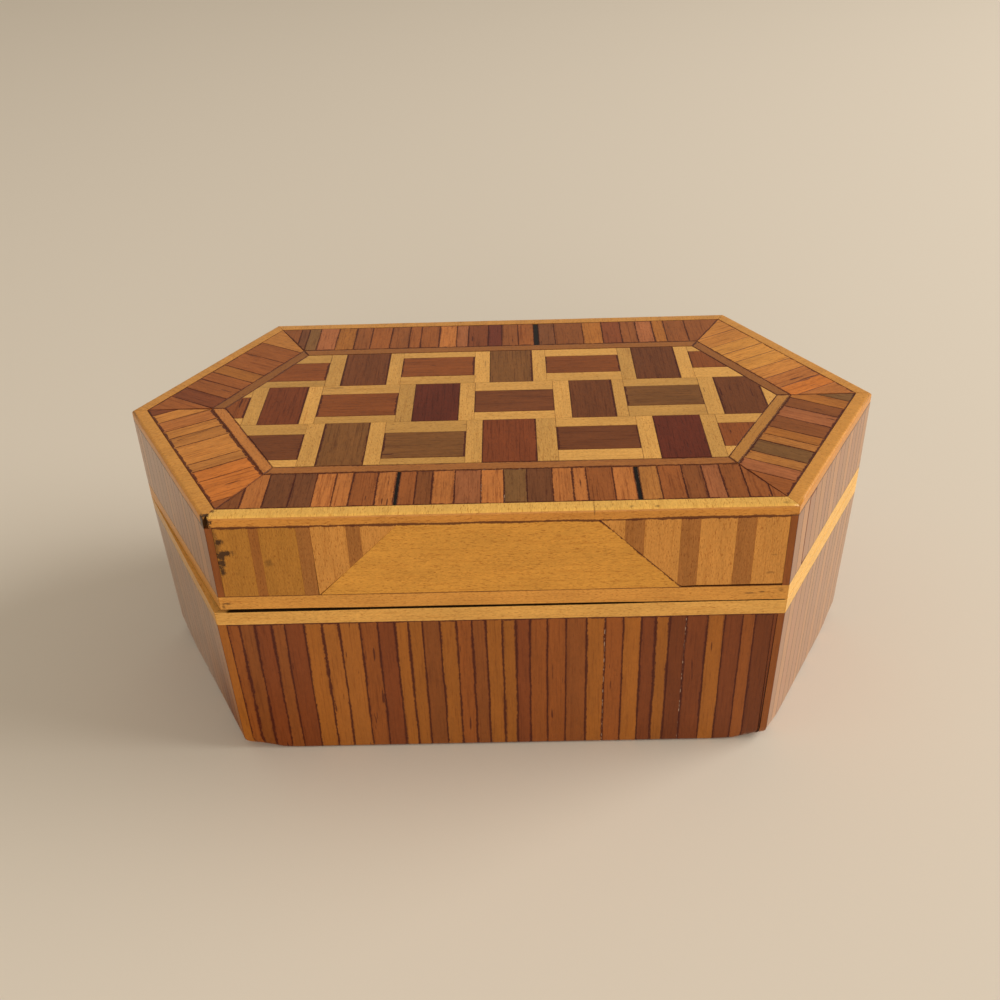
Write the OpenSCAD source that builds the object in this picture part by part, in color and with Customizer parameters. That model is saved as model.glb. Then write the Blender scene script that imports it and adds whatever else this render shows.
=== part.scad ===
// Inlaid wooden trinket box
// A long hexagonal box with a hinged lid. Its walls are mitred boards faced
// with strips of mixed woods, and its lid carries a basket weave of veneers.
// The origin is the middle of the underside. X runs left to right, Y to the
// back, Z up, in millimetres. The lid is drawn closed.

/* [Box] */
// Length from the left tip to the right tip
box_l = 100; // [84:1:150]
// Depth from the front face to the back face
box_w = 53.7; // [44:0.1:70]
// Height of the base with its rim strips
base_h = 23.7; // [14:0.1:50]
// Height of the lid with its rim strips
lid_h = 13.55; // [11:0.05:30]
// Open seam between the closed lid and the base
seam_gap = 0.3; // [0.2:0.05:0.6]
// How far each side of the base leans in at the bottom
base_lean = 0.5; // [0:0.05:1]

/* [Carcass] */
// Thickness of the walls behind their facings
wall_t = 3.25; // [2.8:0.05:6]
// Thickness of the facings and of the top veneers
veneer_t = 0.75; // [0.5:0.05:1.2]
// Thickness of the floor board
floor_t = 2.4; // [1.5:0.1:5]
// How deep the floor board is let into the walls
floor_rebate = 1.4; // [0.5:0.1:1.6]
// Thickness of the lid board
lid_board_t = 3; // [2:0.1:5]
// Height of the light rim strips on both sides of the seam
rim_h = 2.05; // [1.5:0.05:4]

/* [Facings] */
// Width of the strips in the facings, as a part of the widths listed below
facing_strips = 1; // [0.8:0.05:3]
// Length of the top edge of the plain panel in the lid's front
panel_top_l = 23.4; // [10:0.2:30]
// How far the plain panel lies to the right of the middle
panel_shift = -0.2; // [-2:0.05:2]
// Slope of the two ends of the plain panel
panel_slope = 45; // [40:1:80]
// Number of dark stripes on each side of the plain panel
stripe_count = 3; // [1:1:3]
// From the front left corner to the middle of the first left stripe
left_stripe_in = 5.6; // [3:0.1:8]
// From one left stripe to the next
left_stripe_pitch = 5.85; // [3:0.05:7]
// Width of a left stripe
left_stripe_w = 1.6; // [0.8:0.1:2.6]
// Width of the left stripe next to the corner
first_stripe_w = 1.1; // [0.8:0.1:2.6]
// From the front right corner to the middle of the first right stripe
right_stripe_in = 5.85; // [3:0.05:8]
// From one right stripe to the next
right_stripe_pitch = 6.5; // [3:0.05:7]
// Width of a right stripe
right_stripe_w = 2.2; // [0.8:0.1:2.6]

/* [Top inlay] */
// Width of the edging on the top
edging_w = 1.8; // [1.4:0.05:4]
// Height of the edging on the sides
edging_h = 1.45; // [1.2:0.05:3]
// Radius of the rounded outer arris of the edging
edging_round = 0.45; // [0.3:0.05:1]
// Width of the band of cross strips
band_w = 7.55; // [4:0.05:10]
// Width of the cross strips, as a part of the widths listed below
band_strips = 1; // [0.8:0.05:3]
// Width of the light line inside the band
line_w = 1.6; // [0.8:0.1:3]
// Number of rows in the basket weave
weave_rows = 3; // [2:1:5]
// Width of a light bar in the weave
bar_w = 2; // [1:0.1:2.4]
// How far the weave is laid to the right of the middle
weave_shift = 1.4; // [-3:0.1:3]

/* [Hinges] */
// From a back corner of the box to the near end of its hinge
hinge_in = 6.6; // [4:0.1:10]
// Length of a hinge
hinge_l = 16; // [14:0.5:20]
// Thickness of a hinge leaf
leaf_t = 0.7; // [0.6:0.05:0.9]
// Outer diameter of the hinge knuckles
barrel_d = 2.2; // [2:0.1:3]
// Diameter of the hinge pins
pin_d = 1; // [0.8:0.05:1.2]
// Diameter of a pin's two peened heads
pin_head_d = 1.7; // [1.4:0.1:2]
// Thickness of a peened head
pin_head_t = 0.35; // [0.2:0.05:0.6]
// Diameter of a screw's shank
screw_d = 1.1; // [0.9:0.05:1.3]
// Diameter of a screw's countersunk head
screw_head_d = 2.1; // [1.7:0.05:2.2]
// Length of a screw with its head
screw_l = 3.6; // [2.5:0.1:5]
// Distance between the two screws in a leaf
screw_spacing = 9.6; // [7:0.1:11]
// Wood between a screw's pilot hole and the facing behind it
screw_cover = 0.25; // [0.15:0.05:0.4]
// Brass between a screw's head and the inner edge of its leaf
leaf_edge = 0.3; // [0.2:0.05:0.5]

/* [Fits] */
// Glue line between neighbouring pieces of wood
glue = 0.06; // [0.04:0.01:0.15]
// Gap between a screw or a leaf and the wood around it
seat_gap = 0.03; // [0.02:0.01:0.08]
// Gap between a pin and the bores of the knuckles
pin_gap = 0.04; // [0.02:0.01:0.1]
// Gap between neighbouring knuckles
knuckle_gap = 0.12; // [0.05:0.01:0.3]
// Gap between the knuckles and the back of the box
barrel_gap = 0.1; // [0.1:0.05:0.5]

/* [Hidden] */
$fn = 48;

// The six sides in turn, seen from above, starting at the front
FRONT = 0;
FRONT_RIGHT = 1;
BACK_RIGHT = 2;
BACK = 3;
BACK_LEFT = 4;
FRONT_LEFT = 5;

// Widths of the strips as they were laid, along each side from its start. A
// longer side takes more of them, from the head of the list again
FACING_WIDTHS = [
    2.15, 1.6, 2.07, 1.62, 2.38, 2.26, 2.14, 2.5, 2.26, 2.14, 1.67, 1.74,
    2.19, 2.03, 1.9, 1.79, 1.94, 1.72, 1.72, 2.14, 2.33, 2.57, 2.31, 2.25,
    2.2, 1.8, 1.73, 2.02, 2.62, 2.1, 2.19, 1.54, 2.15, 1.4
];
BAND_WIDTHS = [
    // front
    [2.8, 2.6, 3.1, 2.7, 2.4, 2, 3.1, 2.15, 0.65, 1.9, 2, 2.7, 3.2, 2.7,
     2.8, 3, 2.5, 1.7, 3.2, 2.5, 0.75, 2.25, 2.9, 2.4, 2.2, 2.6, 2.6, 1.7],
    // front right
    [3.6, 2.4, 2.1, 3, 1.7, 2, 3.2, 2.9, 2.6, 2.4, 2.7],
    // back right
    [3.9, 2.8, 3.1, 3, 3.1, 2.8, 2.7, 3.2, 4.1],
    // back
    [5.48, 3.2, 1.8, 2.5, 2.4, 2.8, 2.95, 4.25, 2.45, 0.75, 2.3, 2.45, 2.1,
     3, 1.75, 2.6, 2.8, 1.75, 2.8, 3.05, 2.4, 2.75, 2.85, 1.75, 1.25, 3.1],
    // back left
    [5, 3.9, 4.4, 2.6, 2.3, 3, 2.9, 4.5],
    // front left
    [2.1, 2.5, 2.7, 2.2, 2.6, 5, 2.1, 2.6, 5.2, 1.6]
];

// How far the joints between the modules of the weave stray, as parts of a
// module. Each row from the front has one for every joint, from the left, and
// the joints between rows come after them
JOINT_STRAYS = [
    [0, 0, -0.05, -0.06, -0.05, 0.06, 0.06, 0.05, 0, 0],
    [0, 0.1, 0.02, 0.04, 0.04, 0.06, -0.01, -0.03, -0.05, 0],
    [0, 0, 0.02, 0.03, 0.02, -0.01, -0.01, -0.04, 0, 0]
];
ROW_STRAYS = [0.03, 0.05];
// Widths of the two bars of each module, left and right or front and back, as
// parts of a bar. Each row from the front has them from the left
BAR_WIDTHS = [
    [[1, 1], [0.85, 1.35], [1.15, 1.02], [0.75, 1.45], [1.05, 1.3],
     [1.3, 1.15], [1.1, 1], [1.3, 1.15], [1, 1]],
    [[1, 1.4], [1.03, 1], [0.93, 1.27], [1.1, 1.05], [1.07, 1.25],
     [1.12, 0.8], [1.45, 1.1], [1.1, 1], [1, 1]],
    [[1, 1], [0.9, 1.3], [1.1, 0.95], [1.17, 0.85], [1.1, 0.95],
     [1.2, 1.1], [1, 0.97], [1.5, 0.85], [1, 1]]
];

// Heights of the joints between the layers
lid_z = base_h + seam_gap;
top_z = lid_z + lid_h;
base_rim_z = base_h - rim_h;
lid_rim_z = lid_z + rim_h;
edging_z = top_z - edging_h;
veneer_z = top_z - veneer_t;
board_z = veneer_z - lid_board_t;

// Insets from the outside of the box
inside = veneer_t + wall_t;
band_in = edging_w + glue;
line_in = band_in + band_w;
field_in = line_in + glue + line_w + glue;
module_w = (box_w - 2 * field_in) / weave_rows;

// The hinge axis, and the middles of the two hinges on either side of x = 0
pin_y = box_w / 2 + barrel_gap + barrel_d / 2;
pin_z = base_h + seam_gap / 2;
hinge_x = half_length(0, box_w / 2) - hinge_in - hinge_l / 2;
// A leaf's tongue ends inside its knuckle, this far short of the pin's bore
tongue_stop = 0.1;
tongue_y = pin_y - pin_d / 2 - pin_gap - tongue_stop;
// The screws stand in the wall, clear of the leaning facing behind it
screw_y = box_w / 2 - lean(base_h - screw_l) - veneer_t - screw_cover - screw_d / 2 - seat_gap;
leaf_y = screw_y - screw_head_d / 2 - leaf_edge;
countersink = (screw_head_d - screw_d) / 2;
slot_w = 0.3;
slot_depth = 0.25;

// A length past every face, for cutting tools
over = 2;
// A length that reaches through the whole box
reach = 2 * box_l;

// Which way a side faces, and how far it lies from the middle of the box
function side_angle(side) = 60 * side - 90;
function side_far(side) = side % 3 == 0 ? box_w / 2 : box_l / 2 * cos(30);

// How far a side leans in at one height. The lid stands upright
function lean(z) = z < base_h ? base_lean * (1 - z / base_h) : 0;

// Half the length of the box at a depth y, inset from the slanting sides
function half_length(inset, y) = box_l / 2 - inset / cos(30) - abs(y) / tan(60);

// The outline of the box from above, inset all round, in the order of the sides
function outline(inset) =
    let (y = box_w / 2 - inset, x = half_length(inset, y), tip = half_length(inset, 0))
    [[-x, -y], [x, -y], [tip, 0], [x, y], [-x, y], [-tip, 0]];

// Where a side starts and ends, measured along it from the foot of its normal
function side_span(side, inset) =
    let (ends = [outline(inset)[side], outline(inset)[(side + 1) % 6]], a = side_angle(side))
    [for (p = ends) p.y * cos(a) - p.x * sin(a)];

// Where the saw cuts fall when a run is filled with strips of listed widths,
// times a scale. They are then stretched a little, so that the last one fits
function running_sum(list, n) = n == 0 ? 0 : list[n - 1] + running_sum(list, n - 1);
function cuts(span, widths, first, scale) =
    let (
        run = span[1] - span[0],
        count = len(widths),
        mean = scale * running_sum(widths, count) / count,
        n = max(2, round(run / mean)),
        taken = [for (i = [0:n - 1]) widths[(first + i) % count]],
        total = running_sum(taken, n)
    )
    [for (i = [1:n - 1]) span[0] + run * running_sum(taken, i) / total];

// A long plank on one side, between two insets, following the lean
module plank(side, outer, inner, z0, z1) {
    far = side_far(side);
    rotate([0, 0, side_angle(side)])
        rotate([90, 0, 0])
            linear_extrude(height = reach, center = true)
                polygon([
                    [far - outer - lean(z0), z0],
                    [far - inner - lean(z0), z0],
                    [far - inner - lean(z1), z1],
                    [far - outer - lean(z1), z1]
                ]);
}

// Everything behind the face of one side, inset from it
module behind(side, inset, z0, z1) {
    plank(side, inset, inset + reach, z0, z1);
}

// The wedge of the box that belongs to one side, bounded by its mitres
module wedge(side, z0, z1) {
    rim = outline(-over);
    core = outline(box_w / 2 - over);
    next = (side + 1) % 6;
    translate([0, 0, z0])
        linear_extrude(height = z1 - z0)
            polygon([rim[side], rim[next], core[next], core[side]]);
}

// Fine saw cuts along the six mitres
module mitre_saw(z0, z1) {
    for (corner = [0:5]) {
        p = outline(0)[corner];
        translate([p.x, p.y, z0])
            rotate([0, 0, 60 * corner - 120])
                translate([-field_in * 2, -glue / 2, -over])
                    cube([field_in * 2 + over, glue, z1 - z0 + 2 * over]);
    }
}

// Fine saw cuts square to one side, between neighbouring strips
module strip_saw(side, positions, z0, z1) {
    depth = line_in + over;
    rotate([0, 0, side_angle(side)])
        for (y = positions)
            translate([side_far(side) - depth, y - glue / 2, z0 - over])
                cube([depth + over, glue, z1 - z0 + 2 * over]);
}

// A board on one side, with an upright inner face and sawn mitres
module ring_piece(side, outer, inner, z0, z1) {
    difference() {
        intersection() {
            behind(side, outer, z0, z1);
            wedge(side, z0, z1);
        }
        plate(inner, z0 - over, z1 + over);
        mitre_saw(z0, z1);
    }
}

// All six boards of such a ring
module ring(outer, inner, z0, z1) {
    for (side = [0:5])
        ring_piece(side, outer, inner, z0, z1);
}

// A plate with the outline of the box, inset
module plate(inset, z0, z1) {
    translate([0, 0, z0])
        linear_extrude(height = z1 - z0)
            polygon(outline(inset));
}

// One skin on a side. The slanting skins lap over the ends of the others
module skin(side, z0, z1) {
    slanting = side % 3 != 0;
    lap = slanting ? 0 : veneer_t + glue;
    intersection() {
        plank(side, 0, veneer_t, z0, z1);
        behind((side + 5) % 6, side % 3 == 2 ? -over : lap, z0, z1);
        behind((side + 1) % 6, side % 3 == 1 ? -over : lap, z0, z1);
        if (slanting)
            half_box(side < BACK ? 1 : -1, side == BACK_RIGHT || side == BACK_LEFT ? 1 : -1);
    }
}

// One quarter of space, clear of the middle plane by half a glue line
module half_box(x_way, y_way) {
    translate([x_way * reach / 2, y_way * (reach / 2 + glue / 2), 0])
        cube([reach, reach, reach], center = true);
}

// A skin made of strips that stand side by side
module strip_facing(side, z0, z1) {
    color("sienna")
        difference() {
            skin(side, z0, z1);
            strip_saw(side, cuts(side_span(side, 0), FACING_WIDTHS, 5 * side, facing_strips), z0, z1);
        }
}

module base_facing(side) {
    strip_facing(side, 0, base_rim_z);
}

module lid_facing(side) {
    strip_facing(side, lid_rim_z, edging_z);
}

// A run of cross strips on the top of the lid
module cross_band(side) {
    color("chocolate")
        difference() {
            ring_piece(side, band_in, line_in, veneer_z, top_z);
            strip_saw(side, cuts(side_span(side, band_in), BAND_WIDTHS[side], 0, band_strips), veneer_z, top_z);
        }
}

// The pockets and pilot holes that both halves of both hinges need in the wood
module hinge_pockets() {
    for (x = [-hinge_x, hinge_x]) {
        translate([x - hinge_l / 2 - seat_gap, leaf_y - seat_gap, base_h - leaf_t - seat_gap])
            cube([hinge_l + 2 * seat_gap, box_w / 2 - leaf_y + over, 2 * (leaf_t + seat_gap) + seam_gap]);
        for (dx = [-screw_spacing / 2, screw_spacing / 2])
            translate([x + dx, screw_y, pin_z])
                cylinder(d = screw_d + 2 * seat_gap, h = 2 * (screw_l + seat_gap) + seam_gap, center = true);
    }
}

module base_wall(side) {
    color("peru")
        difference() {
            ring_piece(side, veneer_t, inside, 0, base_rim_z);
            plate(inside - floor_rebate, -over, floor_t);
            if (side == BACK)
                hinge_pockets();
        }
}

module lid_wall(side) {
    color("peru")
        difference() {
            ring_piece(side, veneer_t, inside, lid_rim_z, board_z);
            if (side == BACK)
                hinge_pockets();
        }
}

module base_floor() {
    color("burlywood")
        plate(inside - floor_rebate + glue, 0, floor_t - glue);
}

module base_rim_strips() {
    color("goldenrod")
        difference() {
            ring(0, inside, base_rim_z, base_h);
            hinge_pockets();
        }
}

module lid_rim_strips() {
    color("goldenrod")
        difference() {
            ring(0, inside, lid_z, lid_rim_z);
            hinge_pockets();
        }
}

// The board under the inlay, stepped for the edging round it
module lid_board() {
    color("burlywood")
        union() {
            plate(veneer_t, board_z, edging_z);
            plate(edging_w + glue, edging_z - glue, veneer_z);
        }
}

// Light edging with its outer arris rounded
module lid_edging() {
    color("gold")
        difference() {
            for (side = [0:5])
                intersection() {
                    edging_stick(side);
                    wedge(side, edging_z, top_z);
                }
            mitre_saw(edging_z, top_z);
        }
}

module edging_stick(side) {
    far = side_far(side);
    rotate([0, 0, side_angle(side)])
        rotate([90, 0, 0])
            linear_extrude(height = reach, center = true)
                union() {
                    translate([far - edging_w, edging_z])
                        square([edging_w - edging_round, edging_h]);
                    translate([far - edging_w, edging_z])
                        square([edging_w, edging_h - edging_round]);
                    translate([far - edging_round, top_z - edging_round])
                        circle(r = edging_round);
                }
}

// The plain panel's tapering outline, cut through the front skin
module panel_cutter(gap) {
    top_half = panel_top_l / 2 + gap;
    bottom_half = top_half + (edging_z - lid_rim_z) / tan(panel_slope);
    translate([panel_shift, -box_w / 2 + veneer_t + over, 0])
        rotate([90, 0, 0])
            linear_extrude(height = veneer_t + 2 * over)
                polygon([
                    [-bottom_half, lid_rim_z],
                    [bottom_half, lid_rim_z],
                    [top_half, edging_z],
                    [-top_half, edging_z]
                ]);
}

module lid_front_panel() {
    color("goldenrod")
        intersection() {
            skin(FRONT, lid_rim_z, edging_z);
            panel_cutter(0);
        }
}

// The zones of the dark stripes at one end of the lid's front, counted inwards
module stripe_zones(way, first, pitch, widths, gap) {
    corner = half_length(0, box_w / 2);
    for (i = [0:stripe_count - 1])
        translate([way * (corner - first - i * pitch), -box_w / 2, lid_z + lid_h / 2])
            cube([widths[min(i, 1)] + 2 * gap, 2 * (veneer_t + over), lid_h + over], center = true);
}

// One end of the lid's front outside the plain panel
module front_end(way) {
    difference() {
        skin(FRONT, lid_rim_z, edging_z);
        panel_cutter(glue);
        translate([-way * reach / 2, 0, 0])
            cube([reach, reach, reach], center = true);
    }
}

// The width of the first stripe, and then that of the others, are in widths
module stripe_panel(way, first, pitch, widths) {
    color("goldenrod")
        difference() {
            front_end(way);
            stripe_zones(way, first, pitch, widths, glue);
        }
    color("sienna")
        intersection() {
            front_end(way);
            stripe_zones(way, first, pitch, widths, 0);
        }
}

module lid_front_left_stripes() {
    stripe_panel(-1, left_stripe_in, left_stripe_pitch, [first_stripe_w, left_stripe_w]);
}

module lid_front_right_stripes() {
    stripe_panel(1, right_stripe_in, right_stripe_pitch, [right_stripe_w, right_stripe_w]);
}

module light_line() {
    color("tan")
        ring(line_in + glue, line_in + glue + line_w, veneer_z, top_z);
}

// Where the joints of the weave lie. Columns and rows count from the middle
// column and the front row, and the lists above hold columns -4 to 4
function joint_x(row, column) =
    weave_shift + (column - 0.5 + (abs(column) < 5 ? JOINT_STRAYS[row % 3][column + 4] : 0)) * module_w;
function joint_y(row) =
    (row - weave_rows / 2 + (row > 0 && row < weave_rows ? ROW_STRAYS[(row - 1) % 2] : 0)) * module_w;
function bars(row, column) =
    bar_w * (abs(column) < 5 ? BAR_WIDTHS[row % 3][column + 4] : [1, 1]);

// A veneer that lies between two corners, less its share of the glue lines
module veneer(x0, y0, x1, y1) {
    translate([x0 + glue / 2, y0 + glue / 2, veneer_z])
        cube([x1 - x0 - glue, y1 - y0 - glue, veneer_t]);
}

// Every module of the weave is a dark block between two light bars. The
// modules lie across and along in turn
module weave(dark) {
    half_count = ceil(box_l / module_w / 2) + 1;
    intersection() {
        plate(field_in, veneer_z, top_z);
        union()
            for (row = [0:weave_rows - 1], column = [-half_count:half_count]) {
                x0 = joint_x(row, column);
                x1 = joint_x(row, column + 1);
                y0 = joint_y(row);
                y1 = joint_y(row + 1);
                first = bars(row, column)[0];
                last = bars(row, column)[1];
                if ((row + column) % 2 == 0) {
                    if (dark) {
                        veneer(x0 + first, y0, x1 - last, y1);
                    } else {
                        veneer(x0, y0, x0 + first, y1);
                        veneer(x1 - last, y0, x1, y1);
                    }
                } else if (dark) {
                    veneer(x0, y0 + first, x1, y1 - last);
                } else {
                    veneer(x0, y0, x1, y0 + first);
                    veneer(x0, y1 - last, x1, y1);
                }
            }
    }
}

module weave_dark_blocks() {
    color("saddlebrown")
        weave(true);
}

module weave_light_bars() {
    color("khaki")
        weave(false);
}

// A leaf with its knuckles. The base leaf has the two outer knuckles and the
// lid leaf the middle one
module hinge_leaf(x, in_lid) {
    knuckle_l = (hinge_l - 2 * knuckle_gap) / 3;
    z0 = in_lid ? lid_z : base_h - leaf_t;
    places = in_lid ? [0] : [-(knuckle_l + knuckle_gap), knuckle_l + knuckle_gap];
    color("gold")
        translate([x, 0, 0])
            difference() {
                union() {
                    translate([-hinge_l / 2, leaf_y, z0])
                        cube([hinge_l, box_w / 2 - leaf_y, leaf_t]);
                    for (place = places) {
                        translate([place - knuckle_l / 2, screw_y, z0])
                            cube([knuckle_l, tongue_y - screw_y, leaf_t]);
                        translate([place, pin_y, pin_z])
                            rotate([0, 90, 0])
                                cylinder(d = barrel_d, h = knuckle_l, center = true);
                    }
                }
                translate([0, pin_y, pin_z])
                    rotate([0, 90, 0])
                        cylinder(d = pin_d + 2 * pin_gap, h = hinge_l + over, center = true);
                for (dx = [-screw_spacing / 2, screw_spacing / 2])
                    translate([dx, screw_y, in_lid ? lid_z : base_h])
                        mirror([0, 0, in_lid ? 1 : 0])
                            screw_hole();
            }
}

// A countersunk screw that points down, with its head flush at the origin
module screw_shape(gap) {
    translate([0, 0, -screw_l - gap])
        cylinder(d = screw_d + 2 * gap, h = screw_l + gap);
    translate([0, 0, -countersink])
        cylinder(d1 = screw_d + 2 * gap, d2 = screw_head_d + 2 * gap, h = countersink);
}

module screw() {
    difference() {
        screw_shape(0);
        cube([screw_head_d + over, slot_w, 2 * slot_depth], center = true);
    }
}

// The countersunk hole that the screw leaves in a leaf, open above the leaf
module screw_hole() {
    screw_shape(seat_gap);
    cylinder(d = screw_head_d + 2 * seat_gap, h = over);
}

module hinge_screws(in_lid) {
    color("gold")
        for (x = [-hinge_x, hinge_x], dx = [-screw_spacing / 2, screw_spacing / 2])
            translate([x + dx, screw_y, in_lid ? lid_z : base_h])
                mirror([0, 0, in_lid ? 1 : 0])
                    screw();
}

// A pin that is held by its two peened heads
module hinge_pin(x) {
    color("gold")
        translate([x, pin_y, pin_z])
            rotate([0, 90, 0]) {
                cylinder(d = pin_d, h = hinge_l + 2 * pin_gap, center = true);
                for (way = [-1, 1])
                    rotate([way * 90 - 90, 0, 0])
                        translate([0, 0, hinge_l / 2 + pin_gap])
                            cylinder(d1 = pin_head_d, d2 = pin_d, h = pin_head_t);
            }
}

base_floor();
base_wall(FRONT);  // base_front_wall
base_wall(FRONT_RIGHT);  // base_front_right_wall
base_wall(BACK_RIGHT);  // base_back_right_wall
base_wall(BACK);  // base_back_wall
base_wall(BACK_LEFT);  // base_back_left_wall
base_wall(FRONT_LEFT);  // base_front_left_wall
base_facing(FRONT);  // base_front_facing
base_facing(FRONT_RIGHT);  // base_front_right_facing
base_facing(BACK_RIGHT);  // base_back_right_facing
base_facing(BACK);  // base_back_facing
base_facing(BACK_LEFT);  // base_back_left_facing
base_facing(FRONT_LEFT);  // base_front_left_facing
base_rim_strips();
lid_board();
lid_wall(FRONT);  // lid_front_wall
lid_wall(FRONT_RIGHT);  // lid_front_right_wall
lid_wall(BACK_RIGHT);  // lid_back_right_wall
lid_wall(BACK);  // lid_back_wall
lid_wall(BACK_LEFT);  // lid_back_left_wall
lid_wall(FRONT_LEFT);  // lid_front_left_wall
lid_front_panel();
lid_front_left_stripes();
lid_front_right_stripes();
lid_facing(FRONT_RIGHT);  // lid_front_right_facing
lid_facing(BACK_RIGHT);  // lid_back_right_facing
lid_facing(BACK);  // lid_back_facing
lid_facing(BACK_LEFT);  // lid_back_left_facing
lid_facing(FRONT_LEFT);  // lid_front_left_facing
lid_rim_strips();
lid_edging();
cross_band(FRONT);  // front_band
cross_band(FRONT_RIGHT);  // front_right_band
cross_band(BACK_RIGHT);  // back_right_band
cross_band(BACK);  // back_band
cross_band(BACK_LEFT);  // back_left_band
cross_band(FRONT_LEFT);  // front_left_band
light_line();
weave_dark_blocks();
weave_light_bars();
hinge_leaf(-hinge_x, false);  // left_hinge_base_leaf
hinge_leaf(hinge_x, false);  // right_hinge_base_leaf
hinge_leaf(-hinge_x, true);  // left_hinge_lid_leaf
hinge_leaf(hinge_x, true);  // right_hinge_lid_leaf
hinge_pin(-hinge_x);  // left_hinge_pin
hinge_pin(hinge_x);  // right_hinge_pin
hinge_screws(false);  // base_hinge_screws
hinge_screws(true);  // lid_hinge_screws
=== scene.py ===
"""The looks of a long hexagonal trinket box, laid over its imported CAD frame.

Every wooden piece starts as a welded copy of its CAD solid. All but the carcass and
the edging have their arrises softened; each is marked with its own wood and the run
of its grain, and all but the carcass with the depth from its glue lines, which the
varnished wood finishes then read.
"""

import functools
import math
import random

import bmesh
import bpy
from bpy.props import FloatProperty, FloatVectorProperty, PointerProperty
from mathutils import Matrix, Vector, noise


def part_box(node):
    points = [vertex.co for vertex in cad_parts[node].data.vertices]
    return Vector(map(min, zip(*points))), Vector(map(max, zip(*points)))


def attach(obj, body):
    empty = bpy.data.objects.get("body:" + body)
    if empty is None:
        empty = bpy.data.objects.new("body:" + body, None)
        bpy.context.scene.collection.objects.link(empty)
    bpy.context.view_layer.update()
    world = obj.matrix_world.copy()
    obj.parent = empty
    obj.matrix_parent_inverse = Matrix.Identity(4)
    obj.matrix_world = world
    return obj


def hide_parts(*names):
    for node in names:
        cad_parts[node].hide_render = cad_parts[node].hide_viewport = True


bl_info = {
    "name": "Inlaid trinket box",
    "version": (1, 0, 0),
    "blender": (4, 5, 0),
    "location": "View3D > Sidebar > Trinket box",
    "description": "Builds the inlay, woods, brass and stage of a hexagonal trinket box",
    "category": "Object",
}

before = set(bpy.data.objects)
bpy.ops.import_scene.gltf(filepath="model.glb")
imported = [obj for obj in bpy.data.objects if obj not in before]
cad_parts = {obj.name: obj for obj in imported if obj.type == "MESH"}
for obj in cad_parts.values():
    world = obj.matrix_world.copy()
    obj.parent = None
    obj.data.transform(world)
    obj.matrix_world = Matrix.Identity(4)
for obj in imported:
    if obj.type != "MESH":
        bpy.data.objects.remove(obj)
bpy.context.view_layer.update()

MM = 0.001
RIGHT = Vector((1, 0, 0))
REAR = Vector((0, 1, 0))
UP = Vector((0, 0, 1))

# The six sides in turn, seen from above, with the way each faces
SIDES = ("front", "front_right", "back_right", "back", "back_left", "front_left")
FRONT, FRONT_RIGHT, BACK_LEFT, FRONT_LEFT = 0, 1, 4, 5
BASE_RIM, LID_RIM, TOP_EDGING = (
    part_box(name) for name in ("base_rim_strips", "lid_rim_strips", "lid_edging"))
HALF_DEPTH = -BASE_RIM[0].y
HALF_LENGTH = BASE_RIM[1].x
RIM_BASE, SEAM_BASE = BASE_RIM[0].z, BASE_RIM[1].z
SEAM_LID, RIM_LID = LID_RIM[0].z, LID_RIM[1].z
EDGING, TOP = TOP_EDGING[0].z, TOP_EDGING[1].z

# The slope of the slanting sides, and how near to a face's own way a normal has to lie
SLANT = math.radians(60)
SQUARE_ON = 0.99
# Edges shorter than this are drawn together before a gap is closed
SHORT_EDGE = 0.3 * MM
# How near to the end of a strip its last points lie
END_DEPTH = 0.15 * MM
# Spacing of the extra edges along which joints and long pieces wander
SIDE_PITCH = 2.4 * MM
BAND_PITCH = 1.6 * MM
LENGTH_PITCH = 2.2 * MM
# The front corners, where the seam's painted shade and the edging's wear end
FRONT_CORNER = 33.7 * MM

BODIES = ("base", "lid")
HANDS = ("left", "right")
# Nodes with screw holes or bores
HOLED = {
    *(f"{body}_{word}" for body in BODIES for word in ("back_wall", "rim_strips")),
    *(f"{hand}_hinge_{body}_leaf" for body in BODIES for hand in HANDS),
}

# Each letter in the runs below names a wood. A capital has painted glints of light beside it, in its
# joint
WOODS = {
    "m": "maple", "b": "maple_highlight", "f": "straw", "l": "panel", "h": "honey", "y": "butter", "n": "nut",
    "t": "tan", "g": "gold", "o": "orange", "a": "amber", "c": "chestnut", "s": "sienna", "e": "cedar",
    "p": "rosewood", "q": "maple_shade", "r": "russet", "j": "mahogany", "w": "walnut", "v": "olive",
    "u": "umber", "d": "maroon", "k": "ebony",
}
BASE_RUNS = (
    "swrwrceesrccwcswccrsswCscrcJrcrsjj",
    "wtpcptcptpctptc",
    "tspcsctpsctcpst",
    "scwstsjcwsctjwsjcstwcjsswtscjwscst",
    "sptcscptscspcts",
    "wsjcwsrwjscwrsc",
)
LID_RUNS = (
    "",
    "wtpctpctpctpcpt",
    "tcpstscptcspcts",
    "cswtsjcswctsjswcstwscjtwcssctcssjw",
    "sctpscstcpsctps",
    "ctspcstcpstcptw",
)
BAND_RUNS = (
    "wouuoosoKswopOVuoosoKtswpsss",
    "sptvtcwpwcv",
    "oaoghhhgg",
    "wwcpwrcwukswdrposswswcpvuw",
    "tsscssrs",
    "rgogtgtaas",
)
WEAVE_ROWS = ("uvvrudw", "wrwduuvu", "wuwvwuw")
# Painted shade, partly: the foot of the front left corner, towards which the painted sheen fades out and
# the varnish coat thins, so that the foot is as dark as the shade there, and where that starts and ends,
# in metres
SHADED_FOOT = (-0.0345, -0.0268, 0.0)
SHADED_FOOT_REACH = (0.002, 0.019)
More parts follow.
